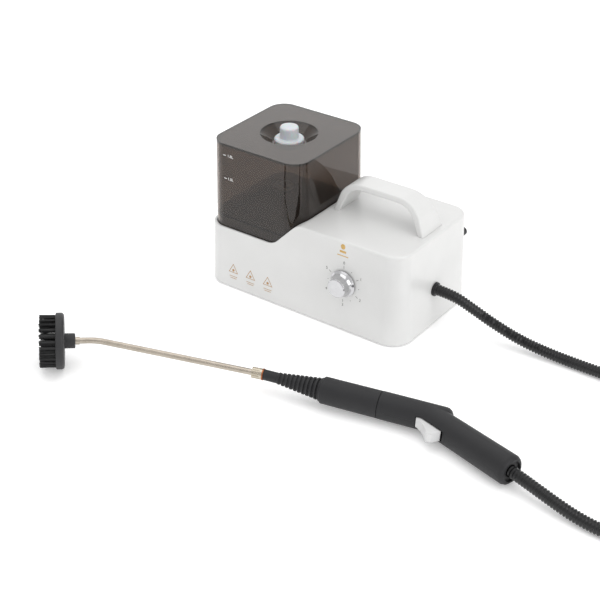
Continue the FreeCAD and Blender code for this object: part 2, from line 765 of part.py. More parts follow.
def grip_solid(inset, end):
    r0, r1 = grip_r0 - inset, grip_r1 - inset
    tail = 5.0
    points = [(0, 0), (0, r0), (end - tail, r1), (end - tail * 0.4, r1 - tail * 0.25), (end, r1 - tail * 0.7), (end, 0)]
    return spun(points, V(0, 0, 0), grip_dir)


def trigger_slot():
    return box(slot_front_u, slot_back_u, -70, -6.0, -trigger_half_t - 0.8, trigger_half_t + 0.8)


def shell_whole():
    skin = fuse(barrel_solid(barrel_r, 9.0), grip_solid(0, grip_len))
    tunnel = barrel_solid(barrel_r - handle_wall, 7.0)
    tunnel = tunnel.common(box(-200, barrel_behind - handle_wall, -40, 40, -40, 40))
    room = fuse(tunnel, grip_solid(handle_wall, grip_len - butt_recess - 8))
    mouth = rod(along_grip(grip_len - butt_recess - 9), along_grip(grip_len + 2), butt_recess_r)
    keep = [rod(V(pin_u, pin_v, side * (trigger_half_t + 0.9)), V(pin_u, pin_v, side * 30), 3.6)
            for side in (-1, 1)]
    keep += [rod(at - Z * 30, at + Z * 30, 3.2) for at in shell_screw_points()]
    solid = skin.cut(room.cut(Part.makeCompound(keep))).cut(mouth).cut(trigger_slot())
    pin_hole = rod(V(pin_u, pin_v, -pin_half()), V(pin_u, pin_v, pin_half()), pin_r)
    bores = [rod(at - Z * 40, at + Z * 8, 1.3) for at in shell_screw_points()]
    sinks = [rod(at - Z * 40, at - Z * 9.5, 2.9) for at in shell_screw_points()]
    return solid.cut(Part.makeCompound([pin_hole] + bores)).cut(Part.makeCompound(sinks))


def pin_half():
    return math.sqrt(barrel_r ** 2 - (abs(pin_v) + pin_r) ** 2) - 1.0


def shell_screw_points():
    return [V(seam_u + 14, 10.2, 0), along_grip(40, 9.8), along_grip(84, 9.8)]


def make_shell(side):
    w0, w1 = (0.03, 60) if side > 0 else (-60, -0.03)
    return shell_whole().common(box(-200, 200, -120, 120, w0, w1))


def make_shell_screws():
    screws = []
    for at in shell_screw_points():
        screws.append(rod(at - Z * 11.5, at - Z * 9.5, 2.6).fuse(rod(at - Z * 9.5, at + Z * 7.5, 1.28)))
    return Part.makeCompound(screws)


def make_trigger():
    outline_points = [(-10.3, -10), (-10.2, -17.0), (-7.2, -19.2), (-1.5, -24.2), (3.2, -30.0), (6.4, -36.0),
                      (8.6, -40.0), (11.6, -41.6), (15.2, -40.2), (23.2, -32.8), (22.4, -27.5), (16.0, -22.5),
                      (8.0, -17.0), (2.0, -12.0), (-1.0, -9.0), (-3.5, -5.0), (-4.2, -2.2), (-8.6, -2.2),
                      (-9.0, -6.0)]
    blade = prism([(u, v, -trigger_half_t) for u, v in outline_points], Z * (2 * trigger_half_t))
    long_edges = [e for e in blade.Edges if e.BoundBox.ZLength > trigger_half_t and e.BoundBox.YMin < -30]
    blade = blade.makeFillet(1.6, long_edges)
    return blade.cut(rod(V(pin_u, pin_v, -20), V(pin_u, pin_v, 20), pin_r + 0.05))


def make_pin():
    return rod(V(pin_u, pin_v, -pin_half() + 0.1), V(pin_u, pin_v, pin_half() - 0.1), pin_r)


plunger_v = -3.4
plunger_u = -9.2
inlet_v = 3.0
valve_body_r = 6.0


def make_plunger():
    stem = rod(V(plunger_u, plunger_v, 0), V(plunger_u - 18, plunger_v, 0), 1.8)
    return stem.fuse(rod(V(plunger_u, plunger_v, 0), V(plunger_u - 2, plunger_v, 0), 2.8))


def make_valve():
    u0, u1 = seam_u + 3, plunger_u - 5
    body = rod(V(u0, 0, 0), V(u1, 0, 0), valve_body_r)
    head = rod(V(u0 - 8, 0, 0), V(u0, 0, 0), lance_r + 3)
    solid = fuse(body, head)
    stem = rod(V(u1 - 24, plunger_v, 0), V(u1 + 1, plunger_v, 0), 1.85)
    inlet = rod(V(u1 - 16, inlet_v, 0), V(u1 + 1, inlet_v, 0), 1.5)
    outlet = rod(V(u0 - 9, 0, 0), V(u0 + 12, 0, 0), lance_bore_r)
    return solid.cut(Part.makeCompound([stem, inlet, outlet]))


def make_gun_pipe():
    return gun_pipe_rod(lance_r).cut(gun_pipe_rod(lance_bore_r))


def make_gun_tube():
    start = V(plunger_u - 5, inlet_v, 0)
    end = along_grip(grip_len - butt_recess - 22)
    points = [tuple(start), tuple(start + X * 14), (16, 1.0, 0), tuple(along_grip(34, -1.0)),
              tuple(along_grip(60, 0)), tuple(end)]
    return swept(points, 2.6, 1.6)[0]


def make_cuff():
    inner = along_grip(grip_len - butt_recess - 22)
    mid = along_grip(grip_len - butt_recess - 8)
    outer = along_grip(grip_len - butt_recess)
    lip = pipe(outer, along_grip(grip_len - cuff_inset), butt_recess_r - 0.1, hose_r + fit_gap)
    wide = fuse(rod(mid, outer, butt_recess_r - 0.1), rod(inner, mid, 7.0), lip)
    return wide.cut(rod(inner - grip_dir * 5, outer + grip_dir, 3.0))


def make_trigger_spring():
    coil = pipe(V(pin_u, pin_v, trigger_half_t + 0.1), V(pin_u, pin_v, trigger_half_t + 0.8), 3.4, 1.7)
    leg = box(pin_u - 3.2, pin_u - 2.4, pin_v, pin_v + 9, trigger_half_t + 0.1, trigger_half_t + 0.8)
    return fuse(coil, leg)


def make_ferrule():
    start = lance_end - tip_dir * (tube_in_hub + ferrule_len + 0.3)
    return pipe(start, start + tip_dir * ferrule_len, ferrule_r, lance_r + 0.02)


def make_brush():
    profile = [(0, lance_r + 0.08), (0, hub_r - 1), (1, hub_r), (hub_len, hub_r), (hub_len, disc_r - 3.4),
               (hub_len + 0.5, disc_r - 1.8), (hub_len + 1.6, disc_r - 0.6), (hub_len + 3.2, disc_r),
               (hub_len + disc_t - 0.6, disc_r), (hub_len + disc_t, disc_r - 0.6), (hub_len + disc_t, hole_r),
               (hub_len + 1.5, hole_r), (hub_len + 1.5, lance_r + 0.08)]
    return spun(profile, hub_start, tip_dir)


def make_bristles():
    """Tufts in rings on the face of the disc."""
    across = tip_dir.cross(Z)
    tufts = []
    for ring_r, count in ((disc_r - 4, 26), (disc_r - 11, 18), (disc_r - 18, 11)):
        for i in range(count):
            a = 2 * math.pi * i / count
            side = across * math.cos(a) + Z * math.sin(a)
            start = bristle_start + side * ring_r
            tufts.append(cone(start, start + tip_dir * bristle_len, bristle_r, bristle_r + 0.5))
    return Part.makeCompound(tufts)


# ---- laying the gun on the floor ----
def lay_gun():
    """Placement that rests the gun on the brush's rim, its corner and its butt."""
    butt = along_grip(grip_len - 6)
    rim = bristle_start * 0.5 + disc_start * 0.5
    rests = [(rim, disc_r), (V(0, 0, 0), barrel_r), (butt, grip_r1)]
    turn = FreeCAD.Rotation(Z, gun_turn)
    spots = []
    for point, radius in rests:
        spot = turn.multVec(point)
        spots.append(V(spot.x, spot.y, radius))
    up = (spots[0] - spots[1]).cross(spots[2] - spots[1])
    up = up.normalize() if up.z > 0 else up.normalize() * -1
    tilt = FreeCAD.Rotation(Z, up)
    place = FreeCAD.Placement(V(gun_x, gun_y, barrel_r), tilt.multiply(turn))
    return place


def placed(shape, place):
    shape = shape.copy()
    shape.Placement = place.multiply(shape.Placement)
    return shape


# ---- hose ----
# Points chosen for the run from the machine to the coil, and from the coil to the gun.
hose_out = [(side_x(outlet_z) + 2.5, outlet_y, outlet_z), (181.0, -4.0, 52.0), (206.0, -3.0, 43.0),
            (236.0, 1.5, 28.5), (274.0, 6.5, 14.5), (318.0, 10.0, 7.9), (370.0, 10.8, 7.3),
            (428.0, 12.0, 7.3), (480.0, 12.0, 7.3)]
hose_back = [(620.0, -122.3, 35.0), (620.0, -146.0, 35.0), (613.0, -178.0, 26.0), (594.0, -211.0, 14.5),
             (560.0, -238.0, 8.2), (516.0, -251.0, 7.3), (478.0, -249.0, 8.6), (444.0, -243.8, 13.0)]


def make_coil():
    """Outer shape of the tied coil, turns lying on each other, with both ends leading off it."""
    half = hose_r * 1.1
    ring = pipe(V(coil_x, coil_y, 0), V(coil_x, coil_y, 2 * hose_r * coil_layers), coil_r + half, coil_r - half)
    arriving = rod(V(*hose_out[-1]), V(coil_x, hose_out[-1][1], hose_out[-1][2]), hose_r)
    start = V(*hose_back[0]) + Y * 0.3
    leaving = rod(V(start.x, coil_y, start.z), start, hose_r)
    return fuse(ring, arriving, leaving)


def make_tie():
    half = hose_r * 1.1
    y = coil_y - coil_r
    top = 2 * hose_r * coil_layers
    band = box(coil_x - 7, coil_x + 7, y - half - 1.4, y + half + 1.6, 0.05, top + 1.4)
    room = box(coil_x - 8, coil_x + 8, y - half - 0.2, y + half + 0.4, 0.2, top + 0.2)
    return band.cut(room).cut(make_coil())


# ---- every node, by name ----
machine = {
    "housing": make_housing(), "base_plate": make_base(), "base_screws": four(base_screw, post_x, post_y),
    "feet": four(foot, foot_x, foot_y), "carry_handle": make_grip(), "handle_screws": make_grip_screws(),
    "tank_body": make_tank(), "tank_lid": make_lid(), "tank_stopper": make_stopper(),
    "tank_valve_cage": make_valve_cage(), "tank_poppet": make_poppet(), "tank_valve_spring": make_valve_spring(),
    "tank_valve_seal": make_valve_seal(), "dock_socket": make_dock(),
    "dial_knob": make_knob(), "dial_shaft": make_shaft(), "potentiometer": make_pot(),
    "boiler_block": make_boiler(), "heater_element": heater_path(heater_r - 0.01),
    "boiler_standoffs": make_standoffs(), "thermostat": make_thermostat(), "thermal_fuse": make_fuse_link(),
    "steam_pipe": make_steam_pipe(), "pump": make_pump(), "pump_mounts": make_pump_mounts(),
    "water_tube": make_water_tube(), "feed_tube": make_feed_tube(), "control_board": make_board(),
    "board_rails": make_board_rails(), "hose_outlet": make_outlet(), "cable_gland": make_gland(),
    "terminal_block": make_terminals(),
}
gun = {
    "lance_tube": make_lance(), "lance_nut": make_nut(), "copper_washer": make_washer(),
    "ribbed_boot": make_boot(), "front_sleeve": make_sleeve(), "gun_shell_left": make_shell(1),
    "gun_shell_right": make_shell(-1), "shell_screws": make_shell_screws(), "trigger": make_trigger(),
    "trigger_pin": make_pin(), "trigger_spring": make_trigger_spring(), "valve_body": make_valve(),
    "valve_plunger": make_plunger(), "gun_pipe": make_gun_pipe(), "gun_tube": make_gun_tube(),
    "hose_cuff": make_cuff(), "brush_ferrule": make_ferrule(), "brush_head": make_brush(),
    "bristles": make_bristles(),
}

place = lay_gun()
gun = {name: placed(shape, place) for name, shape in gun.items()}
low = min(shape.optimalBoundingBox(True).ZMin for shape in gun.values())
for shape in gun.values():
    shape.translate(V(0, 0, -low))
place.Base = place.Base - Z * low
hose_end = place.multVec(along_grip(grip_len - butt_recess))
hose_lead = place.multVec(along_grip(grip_len + 8))
hose_back += [tuple(hose_lead), tuple(hose_end)]

cords = {}
for name, route in (("hose_to_coil", hose_out), ("hose_to_gun", hose_back)):
    cords[name], length, radii = swept(route, hose_r)
    section = math.pi * hose_r ** 2 * length
    print(name, "length", round(length, 1), "volume", round(cords[name].Volume / section, 4),
          "radii", [round(r) for r in radii])
cords["hose_coil"] = make_coil()
cords["hose_tie"] = make_tie()

# The origin is the middle of the foot of everything but the hose.
parts = {**machine, **gun}
span = FreeCAD.BoundBox()
for shape in parts.values():
    span.add(shape.optimalBoundingBox(True))
shift = V(-span.Center.x, -span.Center.y, 0)
print("shift", shift, "size", round(span.XLength, 1), round(span.YLength, 1), round(span.ZLength, 1))
print("gun place", place)

os.makedirs("parts", exist_ok=True)
for name, shape in {**parts, **cords}.items():
    shape = shape.copy()
    shape.translate(shift)
    if not shape.isValid() or shape.Volume <= 0:
        print("check this shape:", name, shape.isValid(), round(shape.Volume, 1))
    shape.exportStep("parts/" + name + ".step")
print(len(parts) + len(cords), "nodes")
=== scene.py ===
import json
import math
import random
import bpy
import bmesh
from mathutils import Matrix, Vector


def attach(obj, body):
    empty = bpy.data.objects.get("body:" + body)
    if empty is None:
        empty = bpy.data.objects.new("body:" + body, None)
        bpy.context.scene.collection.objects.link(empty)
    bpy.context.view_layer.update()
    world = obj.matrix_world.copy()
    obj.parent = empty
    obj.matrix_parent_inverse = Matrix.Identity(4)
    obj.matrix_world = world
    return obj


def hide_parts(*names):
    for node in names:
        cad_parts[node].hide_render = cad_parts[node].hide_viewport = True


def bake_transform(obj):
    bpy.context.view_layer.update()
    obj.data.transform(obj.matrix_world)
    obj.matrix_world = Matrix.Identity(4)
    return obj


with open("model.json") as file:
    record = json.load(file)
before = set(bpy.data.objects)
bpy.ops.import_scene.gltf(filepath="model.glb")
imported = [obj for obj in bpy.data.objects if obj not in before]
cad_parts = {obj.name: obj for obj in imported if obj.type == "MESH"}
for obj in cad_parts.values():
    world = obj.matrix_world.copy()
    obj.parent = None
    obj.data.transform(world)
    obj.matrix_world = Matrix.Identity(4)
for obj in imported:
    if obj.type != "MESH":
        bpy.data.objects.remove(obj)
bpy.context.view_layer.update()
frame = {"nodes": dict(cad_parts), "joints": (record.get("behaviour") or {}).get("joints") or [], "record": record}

machineAt = Vector((-0.09546, 0.13698, 0.0))  # middle of the housing's footprint
record = frame["record"]
slotOf = {part["node"]: part["material_slot"] for part in record["subparts"]}
bodyOf = {node: body for body, nodes in record["behaviour"]["bodies"].items() for node in nodes}
bpy.context.scene.view_settings.view_transform = "Standard"

# camera
cameraPlace = {"lens": 80.63, "azimuth": 36.199, "elevation": 31.539, "distance": 1.80826,
               "right": -0.04929, "up": -0.01895}


def makeCamera(place):
    azimuth, elevation = math.radians(place["azimuth"]), math.radians(place["elevation"])
    back = Vector((math.sin(azimuth) * math.cos(elevation), -math.cos(azimuth) * math.cos(elevation),
                   math.sin(elevation)))
    right = Vector((math.cos(azimuth), math.sin(azimuth), 0))
    target = machineAt + right * place["right"] + back.cross(right) * place["up"]
    bpy.ops.object.camera_add(location=target + back * place["distance"])
    camera = bpy.context.object
    camera.rotation_mode = "QUATERNION"
    camera.rotation_quaternion = (-back).to_track_quat("-Z", "Y")
    camera.data.lens = place["lens"]
    camera.data.sensor_width = 36
    camera.data.clip_start = 0.01
    bpy.context.scene.camera = camera


makeCamera(cameraPlace)
print("camera placed")


# small helpers
def linearColour(hexCode):
    parts = [int(hexCode[i:i + 2], 16) / 255 for i in (1, 3, 5)]
    return tuple(c / 12.92 if c <= 0.04045 else ((c + 0.055) / 1.055) ** 2.4 for c in parts) + (1.0,)


def addNode(tree, kind, settings=None, links=None):
    node = tree.nodes.new("ShaderNode" + kind)
    for name, value in (settings or {}).items():
        if name in node.inputs:
            node.inputs[name].default_value = value
        else:
            setattr(node, name, value)
    for name, socket in (links or {}).items():
        tree.links.new(socket, node.inputs[name])
    return node


def deselectAll():
    if bpy.context.object and bpy.context.object.mode != "OBJECT":
        bpy.ops.object.mode_set(mode="OBJECT")
    bpy.ops.object.select_all(action="DESELECT")


def pick(piece):
    deselectAll()
    piece.select_set(True)
    bpy.context.view_layer.objects.active = piece


def settle(piece, name, finish, body):
    pick(piece)
    bpy.ops.object.transform_apply(location=True, rotation=True, scale=True)
    piece.name = name
    piece.data.materials.clear()
    piece.data.materials.append(finish)
    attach(piece, body)


# finishes
def makeFinish(name, look):
    finish = bpy.data.materials.new(name)
    finish.use_nodes = True
    tree = finish.node_tree
    shader = tree.nodes["Principled BSDF"]
    place = addNode(tree, "TexCoord").outputs["Object"]
    mottle = addNode(tree, "TexNoise", {"Scale": 1000 / look["mottleMm"], "Detail": 5.0}, {"Vector": place})
    ramp = addNode(tree, "ValToRGB", links={"Fac": mottle.outputs["Fac"]})
    ramp.color_ramp.elements[0].position = 0.3
    ramp.color_ramp.elements[1].position = 0.7
    ramp.color_ramp.elements[0].color = linearColour(look["colours"][0])
    ramp.color_ramp.elements[1].color = linearColour(look["colours"][1])
    tree.links.new(ramp.outputs["Color"], shader.inputs["Base Color"])
    grain = addNode(tree, "TexNoise", {"Scale": 1000 / look["grainMm"], "Detail": 3.0, "Roughness": 0.6},
                    {"Vector": place})
    rough = addNode(tree, "MapRange", {"From Min": 0.3, "From Max": 0.7, "To Min": look["rough"][0],
                                       "To Max": look["rough"][1]}, {"Value": grain.outputs["Fac"]})
    tree.links.new(rough.outputs["Result"], shader.inputs["Roughness"])
    bump = addNode(tree, "Bump", {"Strength": look["bump"], "Distance": look["reliefMm"] / 1000},
                   {"Height": grain.outputs["Fac"]})
    if "edgeMm" in look:  # moulded edges are never sharp
        edge = addNode(tree, "Bevel", {"Radius": look["edgeMm"] / 1000, "samples": 4})
        tree.links.new(edge.outputs["Normal"], bump.inputs["Normal"])
    tree.links.new(bump.outputs["Normal"], shader.inputs["Normal"])
    for socket, value in look.get("sockets", {}).items():
        shader.inputs[socket].default_value = value
    return finish


looks = {
    # satin ABS, moulded in a spark-eroded tool: soft wide highlights, a trace of grain
    "satinAbs": {"colours": ("#D1D1D0", "#D6D6D5"), "mottleMm": 60, "grainMm": 0.5, "rough": (0.30, 0.38),
                 "bump": 0.05, "reliefMm": 0.03, "edgeMm": 1.2,
                 "sockets": {"IOR": 1.53, "Coat Weight": 0.15, "Coat Roughness": 0.2}},
    # grey ABS of the base, coarser grain and duller
    "greyAbs": {"colours": ("#C6C6C5", "#CDCDCC"), "mottleMm": 40, "grainMm": 0.8, "rough": (0.5, 0.6),
                "bump": 0.2, "reliefMm": 0.05, "edgeMm": 0.6, "sockets": {"IOR": 1.53}},
    # milky silicone of the stopper: soft, light passes a little way in
    "milkySilicone": {"colours": ("#C3C8CC", "#CBCFD3"), "mottleMm": 15, "grainMm": 0.6,
                      "rough": (0.35, 0.45), "bump": 0.08, "reliefMm": 0.03, "edgeMm": 0.8,
                      "sockets": {"IOR": 1.41, "Subsurface Weight": 0.4, "Subsurface Scale": 0.004}},
    # machined acetal of the valve parts, waxy white
    "acetal": {"colours": ("#DCDCD8", "#E4E4E0"), "mottleMm": 12, "grainMm": 0.4, "rough": (0.35, 0.45),
               "bump": 0.06, "reliefMm": 0.02, "sockets": {"IOR": 1.48}},
    # soft-touch paint on nylon: nearly matt charcoal, a faint sheen at the edges
    "softTouchNylon": {"colours": ("#1D1D1F", "#222224"), "mottleMm": 30, "grainMm": 0.45,
                       "rough": (0.52, 0.62), "bump": 0.18, "reliefMm": 0.04, "edgeMm": 0.7,
                       "sockets": {"IOR": 1.4, "Sheen Weight": 0.04, "Sheen Roughness": 0.5}},
    # black moulded rubber of feet, boot and seal
    "blackRubber": {"colours": ("#1A1A1B", "#202021"), "mottleMm": 10, "grainMm": 0.5, "rough": (0.55, 0.7),
                    "bump": 0.2, "reliefMm": 0.05, "edgeMm": 0.4, "sockets": {"IOR": 1.52}},
    # extruded polyamide hose: near black, fairly glossy
    "hosePolyamide": {"colours": ("#101011", "#161618"), "mottleMm": 12, "grainMm": 0.6,
                      "rough": (0.22, 0.32), "bump": 0.1, "reliefMm": 0.03, "sockets": {"IOR": 1.45}},
    # drawn stainless tube: warm grey, fine even grain and no drawing lines
    "drawnStainless": {"colours": ("#A69D91", "#B5ACA0"), "mottleMm": 9, "grainMm": 0.35,
                       "rough": (0.20, 0.32), "bump": 0.08, "reliefMm": 0.02, "sockets": {"Metallic": 1.0}},
    # nickel-plated brass nut, turned
    "turnedNickel": {"colours": ("#B5AC9C", "#C2BAAA"), "mottleMm": 5, "grainMm": 0.25, "rough": (0.18, 0.28),
                     "bump": 0.1, "reliefMm": 0.02, "edgeMm": 0.3, "sockets": {"Metallic": 1.0}},
    # stamped copper washer, slightly dull
    "stampedCopper": {"colours": ("#9C5C3A", "#AD6C48"), "mottleMm": 3, "grainMm": 0.3, "rough": (0.25, 0.4),
                      "bump": 0.1, "reliefMm": 0.02, "sockets": {"Metallic": 1.0}},
    # satin chrome on ABS: bright, a little blurred
    "satinChrome": {"colours": ("#C2C2C4", "#CBCBCD"), "mottleMm": 8, "grainMm": 0.3, "rough": (0.14, 0.18),
                    "bump": 0.02, "reliefMm": 0.01, "edgeMm": 0.35, "sockets": {"Metallic": 1.0}},
    # off-white nylon trigger
    "whiteNylon": {"colours": ("#CBCBCB", "#D2D2D2"), "mottleMm": 12, "grainMm": 0.4, "rough": (0.35, 0.45),
                   "bump": 0.1, "reliefMm": 0.03, "edgeMm": 0.7, "sockets": {"IOR": 1.53}},
    # black polypropylene of the brush, a low sheen
    "blackPolypropylene": {"colours": ("#1E1E20", "#242426"), "mottleMm": 14, "grainMm": 0.5,
                           "rough": (0.45, 0.55), "bump": 0.15, "reliefMm": 0.04, "edgeMm": 0.8,
                           "sockets": {"IOR": 1.49}},
    # extruded nylon bristle
    "bristleNylon": {"colours": ("#101011", "#1C1C1D"), "mottleMm": 3, "grainMm": 0.3, "rough": (0.35, 0.5),
                     "bump": 0.05, "reliefMm": 0.01, "sockets": {"IOR": 1.53}},
    # zinc-plated steel of screws and small parts
    "zincSteel": {"colours": ("#A9AAA8", "#BDBDBA"), "mottleMm": 4, "grainMm": 0.3, "rough": (0.3, 0.45),
                  "bump": 0.1, "reliefMm": 0.02, "sockets": {"Metallic": 1.0}},
    # die-cast aluminium of the boiler, slightly pitted
    "castAluminium": {"colours": ("#B2B3B5", "#C4C5C6"), "mottleMm": 10, "grainMm": 0.9, "rough": (0.4, 0.6),
                      "bump": 0.3, "reliefMm": 0.08, "sockets": {"Metallic": 1.0}},
    # oxidised steel sheath of the heater
    "heaterSteel": {"colours": ("#5E5A55", "#76706A"), "mottleMm": 6, "grainMm": 0.4, "rough": (0.4, 0.55),
                    "bump": 0.15, "reliefMm": 0.03, "sockets": {"Metallic": 1.0}},
    # phenolic moulding, dark and slightly speckled
    "phenolic": {"colours": ("#1F1D1B", "#2C2926"), "mottleMm": 3, "grainMm": 0.4, "rough": (0.35, 0.5),
                 "bump": 0.1, "reliefMm": 0.03, "sockets": {"IOR": 1.6}},
    # glass-epoxy board under green solder mask
    "solderMask": {"colours": ("#1B5A30", "#22683A"), "mottleMm": 6, "grainMm": 0.6, "rough": (0.25, 0.4),
                   "bump": 0.1, "reliefMm": 0.03, "sockets": {"IOR": 1.55}},
    # silicone tube, cloudy
    "siliconeTube": {"colours": ("#D5CFC4", "#E0DBD1"), "mottleMm": 8, "grainMm": 0.5, "rough": (0.35, 0.5),
                     "bump": 0.05, "reliefMm": 0.02, "sockets": {"IOR": 1.41, "Subsurface Weight": 0.2,
                                                                 "Subsurface Scale": 0.003}},
    # turned brass
    "turnedBrass": {"colours": ("#B8944E", "#C9A560"), "mottleMm": 5, "grainMm": 0.3, "rough": (0.22, 0.35),
                    "bump": 0.1, "reliefMm": 0.02, "sockets": {"Metallic": 1.0}},
    # woven nylon tie: a half millimetre grain stands in for the threads
    "nylonWebbing": {"colours": ("#1B1B1C", "#2A2A2B"), "mottleMm": 2, "grainMm": 0.5, "rough": (0.7, 0.85),
                     "bump": 0.6, "reliefMm": 0.2, "sockets": {"IOR": 1.5, "Sheen Weight": 0.3}},
    # pad-printed inks, thin and slightly uneven
    "greyInk": {"colours": ("#5E5C5A", "#6A6866"), "mottleMm": 3, "grainMm": 0.3, "rough": (0.4, 0.5),
                "bump": 0.05, "reliefMm": 0.01},
    "goldInk": {"colours": ("#BE9A58", "#CDAA68"), "mottleMm": 3, "grainMm": 0.3, "rough": (0.35, 0.45),
                "bump": 0.05, "reliefMm": 0.01, "sockets": {"Metallic": 0.3}},
    "copperInk": {"colours": ("#A57F52", "#B18C5E"), "mottleMm": 3, "grainMm": 0.3, "rough": (0.35, 0.45),
                  "bump": 0.05, "reliefMm": 0.01, "sockets": {"Metallic": 0.2}},
    "whiteInk": {"colours": ("#DADADA", "#E6E6E6"), "mottleMm": 3, "grainMm": 0.3, "rough": (0.4, 0.5),
                 "bump": 0.05, "reliefMm": 0.01},
}
finishes = {name: makeFinish(name, look) for name, look in looks.items()}

smokeLook = {"tint": ("#766A62", "#7C7067"), "rough": (0.02, 0.05), "ior": 1.45, "grainMm": 25, "clear": 0.96}
lidLook = {"tint": ("#5F564F", "#675E57"), "rough": (0.06, 0.09), "ior": 1.5, "grainMm": 25, "clear": 0.90}


def makeSmokedPolycarbonate(name, look):  # clear, tinted in the mass: each wall darkens what is behind it
    finish = bpy.data.materials.new(name)
    finish.use_nodes = True
    tree = finish.node_tree
    shader = tree.nodes["Principled BSDF"]
    place = addNode(tree, "TexCoord").outputs["Object"]
    flow = addNode(tree, "TexNoise", {"Scale": 1000 / look["grainMm"], "Detail": 3.0}, {"Vector": place})
    ramp = addNode(tree, "ValToRGB", links={"Fac": flow.outputs["Fac"]})
    ramp.color_ramp.elements[0].color = linearColour(look["tint"][0])
    ramp.color_ramp.elements[1].color = linearColour(look["tint"][1])
    rough = addNode(tree, "MapRange", {"To Min": look["rough"][0], "To Max": look["rough"][1]},
                    {"Value": flow.outputs["Fac"]})
    tree.links.new(ramp.outputs["Color"], shader.inputs["Base Color"])
    tree.links.new(rough.outputs["Result"], shader.inputs["Roughness"])
    shader.inputs["Transmission Weight"].default_value = look["clear"]
    shader.inputs["IOR"].default_value = look["ior"]
    return finish


finishes["smokedPolycarbonate"] = makeSmokedPolycarbonate("smokedPolycarbonate", smokeLook)
finishes["texturedPolycarbonate"] = makeSmokedPolycarbonate("texturedPolycarbonate", lidLook)

slotFinish = {
    "housing_white": "satinAbs", "base_grey": "greyAbs", "smoked_tank": "smokedPolycarbonate",
    "silicone_white": "milkySilicone", "valve_plastic": "acetal", "spring_steel": "drawnStainless",
    "seal_rubber": "blackRubber", "knob_silver": "satinChrome", "zinc_steel": "zincSteel",
    "black_rubber": "blackRubber", "boiler_aluminium": "castAluminium", "heater_sheath": "heaterSteel",
    "phenolic_black": "phenolic", "board_green": "solderMask", "silicone_tube": "siliconeTube",
    "brass": "turnedBrass", "gun_black": "softTouchNylon", "trigger_white": "whiteNylon",
    "lance_steel": "drawnStainless", "copper": "stampedCopper", "hose_black": "hosePolyamide",
    "brush_black": "blackPolypropylene", "bristle_nylon": "bristleNylon", "tie_black": "nylonWebbing",
}
finishOf = {node: finishes[slotFinish[slot]] for node, slot in slotOf.items()}
finishOf["lance_nut"] = finishes["turnedNickel"]
finishOf["tank_lid"] = finishes["texturedPolycarbonate"]
for nodeName, nodeObject in frame["nodes"].items():
    nodeObject.data.materials.clear()
    nodeObject.data.materials.append(finishOf[nodeName])
print("finishes made:", len(finishes))

# hose
# Places are measured from the middle of the housing's footprint.
hoseLook = {
    "length": 1.9, "diameter": 0.0144, "pitch": 0.0040, "crest": 0.0072, "valley": 0.0060, "sides": 18,
    "exit": (0.1558, -0.0040, 0.052),
    # out of the wall, down under its own weight and along the floor to the coil
    "out": [(0.1558, -0.0040, 0.052), (0.1810, -0.0040, 0.052), (0.2060, -0.0030, 0.043),
            (0.2360, 0.0015, 0.0285), (0.2740, 0.0065, 0.0145), (0.3180, 0.0100, 0.0079),
            (0.3700, 0.0108, 0.0073), (0.4280, 0.0120, 0.0073), (0.4800, 0.0120, 0.0073)],
    "coilAt": (0.5400, -0.0680), "coilRadius": 0.0805, "coilTurns": 2.25, "coilSteps": 16,
    "rootEnds": (0.1548, -0.0152, 0.0), "gunStarts": (0.1132, -0.1181, 0.0),
    "coilLow": 0.0073, "coilRise": 0.0146, "loose": 0.012, "wander": 2.3, "smoothAt": 50,
    # off the coil, down to the floor and up into the handle
    "back": [(0.6200, -0.1223, 0.0382), (0.6200, -0.1460, 0.0350), (0.6130, -0.1780, 0.026),
             (0.5940, -0.2110, 0.0145), (0.5600, -0.2380, 0.0082), (0.5160, -0.2510, 0.0073),
             (0.4780, -0.2490, 0.0086), (0.4440, -0.2438, 0.013), (0.3991, -0.2347, 0.0186),
             (0.3739, -0.2282, 0.0184)],
}


def hoseRoute(look):
    points = [machineAt + Vector(p) for p in look["out"]]
    turns = int(look["coilTurns"] * look["coilSteps"])
    for k in range(1, turns + 1):
        turned = 2 * math.pi * k / look["coilSteps"]
        loose = 1 + look["loose"] * math.sin(look["wander"] * turned)  # no two turns lie quite alike
        reach = look["coilRadius"] * loose
        points.append(machineAt + Vector((look["coilAt"][0] + reach * math.sin(turned),
                                          look["coilAt"][1] + reach * math.cos(turned),
                                          look["coilLow"] + look["coilRise"] * turned / (2 * math.pi))))
    return points + [machineAt + Vector(p) for p in look["back"]]


def splineLine(points):
    curve = bpy.data.curves.new("hoseLine", "CURVE")
    curve.dimensions = "3D"
    spline = curve.splines.new("NURBS")
    spline.points.add(len(points) - 1)
    for point, at in zip(spline.points, points):
        point.co = (*at, 1)
    spline.order_u = 3
    spline.use_endpoint_u = True
    spline.resolution_u = 12
    holder = bpy.data.objects.new("hoseLine", curve)
    bpy.context.scene.collection.objects.link(holder)
    line = bpy.data.meshes.new_from_object(holder)
    found = [v.co.copy() for v in line.vertices]
    bpy.data.objects.remove(holder)
    return found


def evenlySpaced(line, step):
    found, left = [line[0]], step
    for a, b in zip(line, line[1:]):
        span = (b - a).length
        at = left
        while at <= span:
            found.append(a.lerp(b, at / span))
            at += step
        left = at - span
    return found


